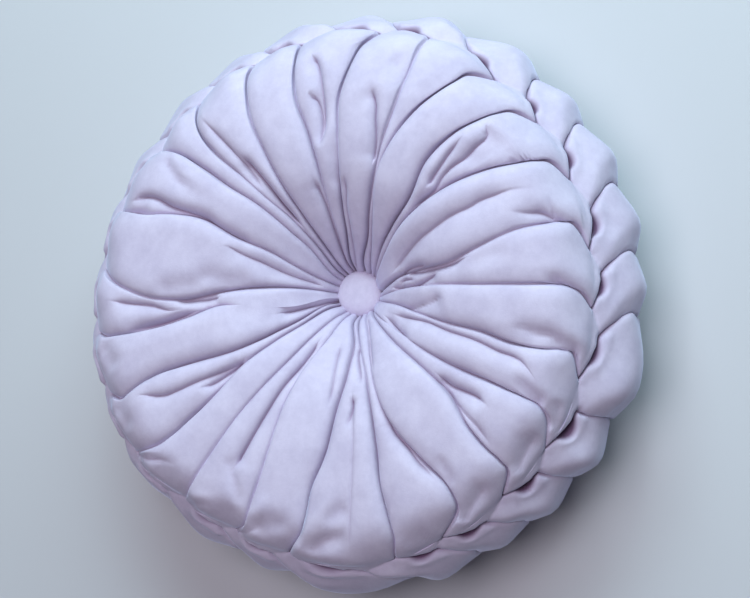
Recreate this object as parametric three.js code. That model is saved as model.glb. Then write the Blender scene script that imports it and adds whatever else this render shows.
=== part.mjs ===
// A round velvet cushion: one tube of cloth, plaited round the side and gathered to a covered button on each
// face.
// Millimetres, +Z up. It lies on its back, with the origin under its middle, on the surface that it rests on.
import * as THREE from "three";

// Driving dimensions of the cushion.
const PLAIT_RADIUS = 178.6; // the line where the pleats of a face end in the plaited band
const SIDE_RADIUS = 194; // the band's deepest folds, half way up the side
const BAND_SPAN = 76; // between the plait lines of the two faces
const MIDDLE = 65; // height of the band's centre line
const FACE_RISE = 20; // the crown of the front face over its plait line, in the valleys of the pleats
const BACK_RISE = 23; // the same on the back, which then presses flat on the surface
const FRONT_FLOOR = 65.7; // bottom of the tuft in the front
const BACK_FLOOR = 34.3; // bottom of the tuft in the back
const TUFT_SHIFT = { x: 3, y: 5 }; // the tufts sit a little off the middle of the plait line
const TUFT_REACH = 110; // the pleats swing back to the middle at this radius
const PLEAT_PITCH = 15; // degrees, the usual width of a pleat
const PLAIT_MARCH = 1.1; // pitches that a fold of the band runs back before it crosses the side
const PUFF_POWER = 0.6; // under 1, so a pleat is full across its width and steep at the folds
const LAP_LEAN = 0.7; // how far a fold of the band leans to the edge that laps over the next
const WIDEST_PUFF = 1.5; // pitches: a pleat wider than this puffs no higher

// Driving dimensions of the covered buttons.
const BUTTON_RADIUS = 14.5;
const BUTTON_FOOT = 11.5; // radius of the flat underside
const BUTTON_HEIGHT = 9;
const BUTTON_EDGE = 3.5; // height of the widest line over the underside
const BUTTON_ROLL = 0.6; // height at which the roll of the foot would meet the widest line
const BUTTON_SHOULDER = 6.6; // height to which the side aims before it turns in
const BUTTON_CROWN = 9; // radius out to which the top is nearly level
const BUTTON_STEPS = 5; // along each curve of the profile
const BUTTON_GAP = 0.3;
const BUTTON_SEGMENTS = 24;

const VELVET = 0xc9c3e2;
const BUTTON_VELVET = 0xd6d1ee;

// Radii at which the table below places the folds.
const FOLD_RADII = { tip: 178.6, bend: 160, middle: 120, inner: 75, core: 35, button: 18 };

// The 24 folds between the pleats, in degrees clockwise from the top edge, seen from the front.
const FOLDS = [
  { tip: 8, bend: 6, middle: 3, inner: 3, core: -1, button: -8 },
  { tip: 20, bend: 21, middle: 21, inner: 20, core: 21, button: 16 },
  { tip: 37, bend: 32, middle: 26, inner: 25, core: 30, button: 33 },
  { tip: 52, bend: 45, middle: 40, inner: 42, core: 42, button: 45 },
  { tip: 68, bend: 60, middle: 54, inner: 48, core: 50, button: 56 },
  { tip: 84, bend: 75, middle: 76, inner: 80, core: 79, button: 82 },
  { tip: 96, bend: 90, middle: 91, inner: 91, core: 94, button: 97 },
  { tip: 111, bend: 105, middle: 107, inner: 108, core: 109, button: 112 },
  { tip: 127, bend: 119, middle: 120, inner: 124, core: 129, button: 130 },
  { tip: 139, bend: 134, middle: 132, inner: 132, core: 138, button: 142 },
  { tip: 153, bend: 148, middle: 152, inner: 155, core: 156, button: 158 },
  { tip: 167, bend: 165, middle: 164, inner: 163, core: 165, button: 170 },
  { tip: 191, bend: 187, middle: 183, inner: 176, core: 174, button: 184 },
  { tip: 205, bend: 202, middle: 203, inner: 205, core: 202, button: 202 },
  { tip: 219, bend: 218, middle: 219, inner: 218, core: 217, button: 217 },
  { tip: 234, bend: 231, middle: 231, inner: 234, core: 233, button: 237 },
  { tip: 247, bend: 246, middle: 246, inner: 241, core: 240, button: 249 },
  { tip: 262, bend: 261, middle: 262, inner: 265, core: 255, button: 260 },
  { tip: 278, bend: 275, middle: 270, inner: 272, core: 275, button: 273 },
  { tip: 292, bend: 293, middle: 299, inner: 299, core: 294, button: 290 },
  { tip: 309, bend: 310, middle: 315, inner: 318, core: 317, button: 307 },
  { tip: 324, bend: 321, middle: 321, inner: 324, core: 325, button: 317 },
  { tip: 339, bend: 337, middle: 335, inner: 334, core: 332, button: 327 },
  { tip: 351, bend: 350, middle: 351, inner: 353, core: 350, button: 340 },
];

// Rings of a face from the tuft's floor out to the plait line: radius, height as a share of the rise from
// the plait line to the crown (below it, of the drop to the floor), and how far the pleats puff out of the
// valleys.
const FACE_RINGS = [
  { radius: 14.7, height: -1, puff: 0 },
  { radius: 16.4, height: -0.88, puff: 0.3 },
  { radius: 22, height: -0.58, puff: 1.4 },
  { radius: 35, height: -0.22, puff: 3 },
  { radius: 55, height: 0.25, puff: 4.6 },
  { radius: 80, height: 0.75, puff: 6.6 },
  { radius: 105, height: 0.97, puff: 8 },
  { radius: 130, height: 0.98, puff: 8.6 },
  { radius: 148, height: 0.84, puff: 8.4 },
  { radius: 161, height: 0.6, puff: 7.6 },
  { radius: 171, height: 0.32, puff: 6.4 },
  { radius: PLAIT_RADIUS, height: 0, puff: 5 },
];

// Rings of the front half of the band, from the plait line to the centre line: shares of the way out and of
// the way down, the puff of the folds, and how much of the march back has been made.
const BAND_RINGS = [
  { out: 0.3, down: 0.1, puff: 5.4, march: 0.55 },
  { out: 0.58, down: 0.24, puff: 5.8, march: 0.76 },
  { out: 0.82, down: 0.44, puff: 6.2, march: 0.88 },
  { out: 0.95, down: 0.7, puff: 6.4, march: 0.96 },
];
const BAND_CENTRE = { out: 1, down: 1, puff: 6.5, march: 1 };

// Places across a pleat, from one fold to the next.
const ACROSS = [0, 0.12, 0.37, 0.63, 0.88];

// Height of a smooth curve through the values given at rising places.
function smoothThrough(places, values, x) {
  const last = places.length - 1;
  const at = Math.min(Math.max(x, places[0]), places[last]);
  let i = 0;
  while (i < last - 1 && at > places[i + 1]) i++;
  const slope = (a, b) => (values[b] - values[a]) / (places[b] - places[a]);
  const width = places[i + 1] - places[i];
  const t = (at - places[i]) / width;
  const startSlope = slope(Math.max(i - 1, 0), i + 1) * width;
  const endSlope = slope(i, Math.min(i + 2, last)) * width;
  const square = t * t;
  const cube = square * t;
  return (
    (2 * cube - 3 * square + 1) * values[i] +
    (cube - 2 * square + t) * startSlope +
    (3 * square - 2 * cube) * values[i + 1] +
    (cube - square) * endSlope
  );
}

// Angle of a fold at a radius of the face.
function foldAngle(fold, radius) {
  const names = Object.keys(FOLD_RADII).reverse();
  const radii = names.map((name) => FOLD_RADII[name]);
  const angles = names.map((name) => fold[name]);
  return smoothThrough(radii, angles, radius);
}

// Start and width, in degrees, of the pleat before each fold.
function pleatSpans(radius) {
  return FOLDS.map((fold, i) => {
    const before = FOLDS[(i + FOLDS.length - 1) % FOLDS.length];
    const end = foldAngle(fold, radius);
    const start = foldAngle(before, radius) - (i === 0 ? 360 : 0);
    return { start, width: end - start };
  });
}

// Shape of a pleat across its width: round on a face, and on the band low where it comes out from under the
// fold before it and high at the edge that laps over the next.
function puffShape(across, lap) {
  const leaning = Math.pow(across, 1 + LAP_LEAN * lap);
  return Math.pow(4 * leaning * (1 - leaning), PUFF_POWER);
}

// How much of the tuft's shift a point at this radius follows: all of it at the button.
function tuftShare(radius) {
  const t = THREE.MathUtils.clamp((radius - FOLD_RADII.button) / (TUFT_REACH - FOLD_RADII.button), 0, 1);
  return 1 - t * t * (3 - 2 * t);
}

// Sections of the whole cushion from the front tuft, over the side, to the back tuft.
function allSections() {
  const frontPlait = MIDDLE + BAND_SPAN / 2;
  const backPlait = MIDDLE - BAND_SPAN / 2;
  const face = FACE_RINGS.map((ring) => {
    const reach = ring.height < 0 ? frontPlait - FRONT_FLOOR : FACE_RISE;
    return { ...ring, z: frontPlait + ring.height * reach, march: 0, lap: 0 };
  });
  const back = FACE_RINGS.map((ring) => {
    const reach = ring.height < 0 ? BACK_FLOOR - backPlait : BACK_RISE;
    return { ...ring, z: backPlait - ring.height * reach, march: 0, lap: 0 };
  });
  const bandRing = (ring, way) => ({
    radius: PLAIT_RADIUS + ring.out * (SIDE_RADIUS - PLAIT_RADIUS),
    z: MIDDLE + way * (1 - ring.down) * (BAND_SPAN / 2),
    puff: ring.puff,
    march: ring.march,
    lap: ring.march,
  });
  const frontBand = BAND_RINGS.map((ring) => bandRing(ring, 1));
  const backBand = BAND_RINGS.map((ring) => bandRing(ring, -1)).reverse();
  return [...face, ...frontBand, bandRing(BAND_CENTRE, 1), ...backBand, ...back.reverse()];
}

// Outward direction of the profile at each section, as radius and height.
function outwardDirections(sections) {
  return sections.map((section, i) => {
    const a = sections[Math.max(i - 1, 0)];
    const b = sections[Math.min(i + 1, sections.length - 1)];
    return new THREE.Vector2(a.z - b.z, b.radius - a.radius).normalize();
  });
}

// Points of one section, clockwise, each puffed out of the valleys and pressed flat where it rests.
function sectionPoints(section, outward) {
  const share = tuftShare(section.radius);
  const points = [];
  for (const span of pleatSpans(section.radius)) {
    for (const across of ACROSS) {
      const degrees = span.start + span.width * across - section.march * PLAIT_MARCH * PLEAT_PITCH;
      const angle = THREE.MathUtils.degToRad(degrees);
      const fullness = Math.sqrt(Math.min(span.width / PLEAT_PITCH, WIDEST_PUFF));
      const puff = section.puff * fullness * puffShape(across, section.lap);
      const radius = section.radius + puff * outward.x;
      const x = radius * Math.sin(angle) + TUFT_SHIFT.x * share;
      const y = radius * Math.cos(angle) + TUFT_SHIFT.y * share;
      points.push(new THREE.Vector3(x, y, Math.max(section.z + puff * outward.y, 0)));
    }
  }
  return points;
}

// One closed skin through all the sections, with a flat floor in each tuft.
function cushionGeometry() {
  const sections = allSections();
  const directions = outwardDirections(sections);
  const rings = sections.map((section, i) => sectionPoints(section, directions[i]));
  const count = rings[0].length;
  const floorCentre = (section) => new THREE.Vector3(TUFT_SHIFT.x, TUFT_SHIFT.y, section.z);
  const vertices = [...rings.flat(), floorCentre(sections[0]), floorCentre(sections.at(-1))];
  const frontCentre = vertices.length - 2;
  const backCentre = vertices.length - 1;
  const faces = [];
  for (let ring = 0; ring < rings.length - 1; ring++) {
    for (let i = 0; i < count; i++) {
      const next = (i + 1) % count;
      const [a, b] = [ring * count + i, ring * count + next];
      const [c, d] = [a + count, b + count];
      faces.push(a, b, d, a, d, c);
    }
  }
  const lastRing = (rings.length - 1) * count;
  for (let i = 0; i < count; i++) {
    const next = (i + 1) % count;
    faces.push(frontCentre, next, i);
    faces.push(backCentre, lastRing + i, lastRing + next);
  }
  const geometry = new THREE.BufferGeometry().setFromPoints(vertices);
  geometry.setIndex(faces);
  return geometry;
}

// A domed button covered in the same cloth, standing on its flat underside.
function buttonGeometry() {
  const profile = new THREE.Path();
  profile.moveTo(0, 0);
  profile.lineTo(BUTTON_FOOT, 0);
  profile.quadraticCurveTo(BUTTON_RADIUS, BUTTON_ROLL, BUTTON_RADIUS, BUTTON_EDGE);
  profile.bezierCurveTo(BUTTON_RADIUS, BUTTON_SHOULDER, BUTTON_CROWN, BUTTON_HEIGHT, 0, BUTTON_HEIGHT);
  const points = profile.getPoints(BUTTON_STEPS);
  points[points.length - 1].x = 0;
  return new THREE.LatheGeometry(points, BUTTON_SEGMENTS).rotateX(Math.PI / 2);
}

function velvet(color) {
  return new THREE.MeshStandardMaterial({ color, roughness: 0.9, metalness: 0 });
}

function cushion() {
  const mesh = new THREE.Mesh(cushionGeometry(), velvet(VELVET));
  mesh.name = "cushion";
  return mesh;
}

// A button on the floor of a tuft: way is 1 for the front and -1 for the back.
function button(name, floor, way) {
  const mesh = new THREE.Mesh(buttonGeometry(), velvet(BUTTON_VELVET));
  mesh.name = name;
  mesh.rotation.x = way > 0 ? 0 : Math.PI;
  mesh.position.set(TUFT_SHIFT.x, TUFT_SHIFT.y, floor + way * BUTTON_GAP);
  return mesh;
}

const roundPillow = new THREE.Group();
roundPillow.add(cushion());
roundPillow.add(button("front_button", FRONT_FLOOR, 1));
roundPillow.add(button("back_button", BACK_FLOOR, -1));

export default roundPillow;
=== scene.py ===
"""A round lilac velvet cushion, lying on its back.

One tube of velvet is smocked into a plaited band round the side, and both its ends are gathered into
pleats that meet at a covered button. The cover is one mesh whose columns run along the folds, so each
crevice stays sharp.

Sizes are in millimetres until a mesh is made. Angles are in degrees, clockwise from the top of the front.
A place is how far a point lies along the section past the front plait line, so it is negative on the
front face. A zone is a pair of bounds between which something sets in smoothly.
"""

import logging
import math
from dataclasses import dataclass
from enum import Enum

import bmesh
import bpy
import numpy as np
from mathutils import Matrix, Vector

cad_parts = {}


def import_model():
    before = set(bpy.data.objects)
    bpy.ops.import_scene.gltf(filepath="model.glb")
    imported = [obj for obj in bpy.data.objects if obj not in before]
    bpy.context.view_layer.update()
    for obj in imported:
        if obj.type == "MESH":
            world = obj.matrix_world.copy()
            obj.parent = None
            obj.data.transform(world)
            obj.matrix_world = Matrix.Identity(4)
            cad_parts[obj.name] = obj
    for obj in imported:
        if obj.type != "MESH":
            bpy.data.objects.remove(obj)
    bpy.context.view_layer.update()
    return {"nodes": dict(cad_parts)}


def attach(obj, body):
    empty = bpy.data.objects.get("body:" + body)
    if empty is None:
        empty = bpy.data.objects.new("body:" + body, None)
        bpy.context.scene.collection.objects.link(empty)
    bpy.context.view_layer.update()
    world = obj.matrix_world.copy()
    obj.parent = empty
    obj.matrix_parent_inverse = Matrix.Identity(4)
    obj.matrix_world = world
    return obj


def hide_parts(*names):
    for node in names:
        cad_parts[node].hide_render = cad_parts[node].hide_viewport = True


log = logging.getLogger("round_pillow")

MM = 0.001
# Points of a mesh nearer than this, in metres, are one.
WELD = 1e-7
# The least length that anything is divided by.
TINY = 1e-6
# How far from a fold its edge starts to lean over.
LIP_START = 1.2


def smooth_through(places: np.ndarray, values: np.ndarray, at: np.ndarray) -> np.ndarray:
    """Smooth curve through values given at rising places.

    Args:
        places: where the values are given, rising.
        values: the values, with the places along the first axis.
        at: where to read the curve; outside the places it is held.

    Returns:
        The curve's values, with at's shape before the values' own.
    """
    places = np.asarray(places, float)
    values = np.asarray(values, float)
    at = np.clip(np.asarray(at, float), places[0], places[-1])
    i = np.clip(np.searchsorted(places, at, side="right") - 1, 0, len(places) - 2)
    slope = np.gradient(values, places, axis=0)
    width = places[i + 1] - places[i]
    t = (at - places[i]) / width
    spare = (1,) * (values.ndim - 1)
    t = t.reshape(t.shape + spare)
    width = width.reshape(width.shape + spare)
    return (
        (2 * t**3 - 3 * t**2 + 1) * values[i]
        + (t**3 - 2 * t**2 + t) * width * slope[i]
        + (3 * t**2 - 2 * t**3) * values[i + 1]
        + (t**3 - t**2) * width * slope[i + 1]
    )


def ramp(low: float, high: float, at: np.ndarray) -> np.ndarray:
    """Smooth step from 0 at low to 1 at high."""
    t = np.clip((np.asarray(at, float) - low) / (high - low), 0, 1)
    return t * t * (3 - 2 * t)


def bell(middle: float, width: float, at: np.ndarray) -> np.ndarray:
    """Smooth bump of 1 at its middle, which has died out at two widths from it."""
    return np.exp(-(((at - middle) / width) ** 2))


def rounded(share: np.ndarray) -> np.ndarray:
    """Quarter circle that rises from 0 to 1 as the share does."""
    return np.sqrt(share * (2 - share))


def leaning(distance: np.ndarray, middle: float, width: float) -> np.ndarray:
    """How far a fold's edge leans over: nothing at the fold, 1 near its lip and nothing far from it."""
    return bell(middle, width, distance) * (1 - bell(0, LIP_START, distance))


@dataclass(frozen=True)
class Fold:
    """One of the 24 folds, as its angles on the face and how it turns back at the plait.

    The fold meets the plait at the angle tip and the radius reach, and rim to heart are its angles at the
    radii of FOLD_RADII. march is how far the fold runs back round the band, in degrees, and eye is the
    width of the opening that it leaves in the plait, in millimetres. depths are how deep it is drawn in at
    the radii of DEPTH_RADII, where less than nothing makes it die out sooner. arch is the share of its
    usual run over the middle of the band, so that a small one droops forward again.
    """

    tip: float
    reach: float
    rim: float
    bend: float
    outer: float
    wide: float
    middle: float
    inner: float
    well: float
    neck: float
    heart: float
    march: float = 15.0
    eye: float = 3.0
    depths: tuple[float, ...] = (1.0, 1.0, 1.0, 1.0, 1.0)
    arch: float = 1.0

    def line(self) -> tuple[tuple, tuple]:
        """Lists where the fold runs over the face.

        Returns:
            Radii from the tuft to the plait, and the fold's angles there.
        """
        angles = (self.heart, self.neck, self.well, self.inner, self.middle)
        angles += (self.wide, self.outer, self.bend, self.rim, self.tip)
        return FOLD_RADII[::-1] + (self.reach,), angles


DEPTH_RADII = (165.0, 138.0, 93.0, 48.0, 22.0)
FOLD_RADII = (168.0, 160.0, 150.0, 130.0, 105.0, 80.0, 55.0, 35.0, 20.0)

FOLDS = (
    Fold(9.6, 182.7, 6.5, 5.8, 4.9, 3.3, 3.8, 3.6, 1.9, -1, -9, 15, 3, (1, 0.8, 0.5, 0.9, 1)),
    Fold(20.5, 185, 20.7, 21.1, 21.2, 21.3, 21, 21.3, 22, 22.6, 15.6, 12, 3, (0.4, 0.4, 0.6, 1, 0.9)),
    Fold(38.4, 178, 33.3, 32.2, 30.5, 27, 24, 22.8, 25.6, 29.3, 33, 14, 3, (1, 0.9, 0.4, 0.5, 0.5)),
    Fold(52.1, 175.7, 47.1, 45.3, 43.6, 40.7, 39.4, 42.5, 42, 41.8, 45, 10, 3, (1, 1, 0.9, 1, 0.4)),
    Fold(67.1, 173.5, 62.1, 60.1, 58.6, 55.3, 51.4, 48.5, 47.3, 49.5, 53, 12, 3.5, (1, 1, 1, 0.5, 0.5)),
    Fold(83.2, 172.6, 77.7, 75.8, 75.5, 75.4, 77.1, 80, 79.7, 80.7, 88, 14, 5, (0.9, 0.4, 0.5, 0.7, 1)),
    Fold(95.8, 173, 92.8, 91, 90.6, 90.7, 90.4, 90.1, 90.9, 93.8, 100, 12.5, 3.5,
         (0.9, 0.5, 0.4, 0.3, 0.3)),
    Fold(111.2, 173.7, 106.3, 105.6, 106.4, 107.3, 106.5, 107.6, 108.5, 108.9, 112, 15.5, 3,
         (0.8, 1, 0.6, 0.4, 0.5)),
    Fold(127.5, 175.3, 121.3, 119.5, 119.2, 119.8, 121.5, 123.7, 126.8, 131, 136, 15.5, 8,
         (0.5, 1, 0.6, 0.1, 0.3), 0.2),
    Fold(141, 176, 135.5, 134.7, 134.7, 134, 130.7, 131, 134.3, 138, 142, 13, 6,
         (0.7, 0.7, 0.5, 0.6, 0.7), 0.5),
    Fold(156.9, 178, 149.7, 148.4, 148.2, 150.5, 154.1, 156.6, 157, 156.1, 158, 14, 6,
         (0.6, 0.7, 0.3, 0.4, 0.4)),
    Fold(167.8, 180.6, 165.3, 164.9, 164.7, 164.6, 163, 161.9, 162.5, 167, 173, 13.5, 4,
         (0.6, 1, 1, 0.4, 0.8)),
    Fold(191.9, 177, 189.2, 187.2, 186.3, 185.5, 181.8, 178.9, 174.1, 173, 184, 23, 3,
         (0.9, 1, 0.9, 0.9, 0.8)),
    Fold(205.6, 174.5, 203, 201.9, 201.9, 202.1, 203.2, 204.9, 205, 202, 204, 13, 4,
         (0.4, 0.4, 0.3, 0.4, 0.4)),
    Fold(219.3, 176.2, 218.6, 218.4, 218.4, 218.7, 219.1, 218.5, 217.3, 217.2, 217, 14, 3.5,
         (0.3, 0.3, 0.3, 0.5, 0.4)),
    Fold(235.3, 183, 232.3, 231.2, 230.5, 230.6, 231.6, 234, 234.4, 235, 240, 14, 3.5,
         (0.4, 0.8, 0.5, 0.7, 0.9)),
    Fold(249.9, 183, 246.1, 246.4, 246.9, 247.2, 245.5, 242, 240, 241, 249, 13, 3, (0.8, 1, 0.7, 1, 0.8)),
    Fold(264, 182.6, 261.6, 261.2, 260.8, 261.1, 262.9, 265, 258.5, 254, 259, 15, 3,
         (0.7, 1, 0.6, -0.5, 0)),
    Fold(278.8, 179, 276.3, 274.7, 273, 270.3, 269.6, 271.9, 273.8, 274, 273, 15, 3,
         (0.5, 0.4, 0.8, 0.8, 0.5)),
    Fold(292.2, 178.2, 292.5, 292.9, 293.6, 297, 300.5, 299.4, 299, 294.5, 290.5, 14, 3,
         (0.4, 0.4, 0.6, 0.4, 0.5)),
    Fold(308.5, 173.2, 308.9, 310.4, 312, 314, 316, 318.8, 319, 317, 307, 16, 3,
         (0.7, 0.8, 0.5, 0.4, 0.4)),
    Fold(323.7, 176.4, 322.3, 320.7, 319.8, 320, 322.1, 323.9, 326, 325, 319, 15, 3,
         (1, 0.7, 0.3, 0.5, 0.8)),
    Fold(339.5, 178, 337.6, 336.7, 336, 334.8, 334.8, 334.2, 333.5, 332, 329, 15, 3,
         (1, 0.6, 0.6, 0.9, 0.8)),
    Fold(351.2, 180, 350.5, 350.2, 349.9, 350.2, 352.7, 353.8, 352.9, 350.1, 344, 12, 3,
         (1, 0.6, 0.7, 0.4, 0.7)),
)


@dataclass(frozen=True)
class Profile:
    """Section of the cushion along the valleys of its folds, from the front tuft over the side to the back.

    face holds radii and heights of a face from the tuft outwards, where 1 is a full rise over the plait
    line and -1 the floor of the tuft. band holds the band's bulge from a plait line to its middle, as
    shares of the way out to side_radius and of the way down to the middle.
    """

    plait_radius: float = 178.6
    side_radius: float = 191.5
    band_span: float = 76.0
    middle: float = 65.0
    front_rise: float = 20.0
    back_rise: float = 22.0
    front_floor: float = 66.5
    back_floor: float = 33.5
    face: tuple[tuple[float, float], ...] = (
        (3, -1.0), (9, -1.0), (13, -0.98), (16.5, -0.86), (22, -0.6), (35, -0.24), (55, 0.24), (80, 0.74),
        (105, 0.965), (121, 1.0), (140, 0.97), (156, 0.83), (167, 0.6), (174, 0.33),
    )
    band: tuple[tuple[float, float], ...] = ((0.3, 0.1), (0.58, 0.24), (0.82, 0.44), (0.95, 0.7))
    look: float = 0.5

    def points(self) -> np.ndarray:
        """Works out the section's own points.

        Returns:
            Radius and height of each point, front to back.
        """
        top = self.middle + self.band_span / 2
        bottom = self.middle - self.band_span / 2
        front_hole, back_hole = top - self.front_floor, self.back_floor - bottom
        front = [(r, top + h * (self.front_rise if h > 0 else front_hole)) for r, h in self.face]
        back = [(r, bottom - h * (self.back_rise if h > 0 else back_hole)) for r, h in self.face]
        out = self.side_radius - self.plait_radius
        half = [(self.plait_radius, top)]
        half += [(self.plait_radius + o * out, top - d * self.band_span / 2) for o, d in self.band]
        other = [(r, 2 * self.middle - z) for r, z in reversed(half)]
        return np.array(front + half + [(self.side_radius, self.middle)] + other + back[::-1], float)

    def runs(self) -> np.ndarray:
        """Places of the section's own points."""
        run = np.concatenate([[0], np.cumsum(np.hypot(*np.diff(self.points(), axis=0).T))])
        return run - run[len(self.face)]

    def at(self, places: np.ndarray) -> tuple[np.ndarray, np.ndarray]:
        """Points and outward directions along the section.

        Args:
            places: where along the section; a direction is taken over look each way.

        Returns:
            Radius and height, and the outward direction's radius and height, one row a place.
        """
        points, run = self.points(), self.runs()
        section = smooth_through(run, points, places)
        forward = smooth_through(run, points, places + self.look)
        along = forward - smooth_through(run, points, places - self.look)
        outward = np.stack([-along[:, 1], along[:, 0]], axis=1)
        outward /= np.linalg.norm(outward, axis=1)[:, None]
        return section, outward

    def reach(self) -> tuple[float, float, float]:
        """Places of the front tuft, the back plait line and the back tuft."""
        run = self.runs()
        return run[0], run[-1 - len(self.face)], run[-1]


@dataclass
class Lines:
    """Where the rows and folds of the cover lie.

    places, radii and inward have an entry for each row of the mesh, and inward is how far the row lies past
    the nearer plait line. before and after are the angles of the folds on the two sides of each pleat, with
    an entry for every pleat and row.
    """

    places: np.ndarray
    radii: np.ndarray
    inward: np.ndarray
    before: np.ndarray
    after: np.ndarray

    @property
    def front(self) -> np.ndarray:
        """Which rows lie on the front face."""
        return self.places < 0


# A crease that fades over less than JOINED of its length runs into a fold, and goes on CARRY past its end.
JOINED = 0.04
CARRY = 10.0
# How many close points a crease's line has for each of its own points.
CLOSE = 12
# The share of its length by which a crease's fade starts before its end.
EARLY = 0.03
# A crease at least this sharp, over at least this many millimetres of radius, has a column of its own.
COLUMN_SHARP = 0.35
COLUMN_SPAN = 10.0


@dataclass(frozen=True)
class Crease:
    """A secondary crease of the front face, along listed points.

    points are radius and clockwise angle, from one end of the crease to the other. width is how far its
    sides reach and depth is the trough's. step is how much lower the cloth lies on its clockwise side, as
    beside a small fold, or on its other side where it is negative. sharp is the share of its depth that is a
    narrow crevice, and fades are the shares of its length over which its two ends die out.
    """

    points: tuple[tuple[float, float], ...]
    width: float = 4.0
    depth: float = 2.5
    step: float = 0.0
    sharp: float = 0.4
    fades: tuple[float, float] = (0.25, 0.25)

    def line(self) -> tuple[np.ndarray, np.ndarray]:
        """Works out close points along the crease, carried on past an end that runs into a fold.

        Returns:
            The points' radii and their angles.
        """
        points = np.array(self.points, float)
        if self.fades[0] < JOINED:
            points = np.vstack([points[0] + self.carried(points[1], points[0]), points])
        if self.fades[1] < JOINED:
            points = np.vstack([points, points[-1] + self.carried(points[-2], points[-1])])
        places = np.arange(len(points))
        at = np.linspace(0, len(points) - 1, CLOSE * len(self.points))
        return smooth_through(places, points[:, 0], at), smooth_through(places, points[:, 1], at)

    @staticmethod
    def carried(start: np.ndarray, end: np.ndarray) -> np.ndarray:
        """The short step past the end of a stretch of the crease, as radius and angle."""
        step = end - start
        return step * CARRY / math.hypot(step[0], math.radians(step[1]) * end[0])

    def followed(self) -> bool:
        """Whether the crease is sharp and radial enough for a column to follow it."""
        radius = np.array(self.points, float)[:, 0]
        return self.sharp >= COLUMN_SHARP and np.ptp(radius) >= COLUMN_SPAN

    @staticmethod
    def pleat(radius: np.ndarray, angle: np.ndarray, lines: Lines) -> tuple[int, int]:
        """Finds the pleat that a crease's middle lies on.

        Args:
            radius: radii of the crease's close points.
            angle: their angles.
            lines: the rows and folds.

        Returns:
            The pleat's number, and the whole turn to add to the crease's angles there.
        """
        middle = len(radius) // 2
        front = np.flatnonzero(lines.front)
        row = front[np.argmin(np.abs(lines.radii[front] - radius[middle]))]
        for turn in (0, 360):
            at = angle[middle] + turn
            inside = np.flatnonzero((lines.before[:, row] <= at) & (at < lines.after[:, row]))
            if len(inside):
                return inside[0], turn
        return 0, 0

    def strength(self) -> np.ndarray:
        """How deep the crease is at each of its close points, from 0 at its ends to 1."""
        along = np.linspace(0, 1, CLOSE * len(self.points))
        return ramp(-EARLY, self.fades[0], along) * ramp(-EARLY, self.fades[1], 1 - along)


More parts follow.
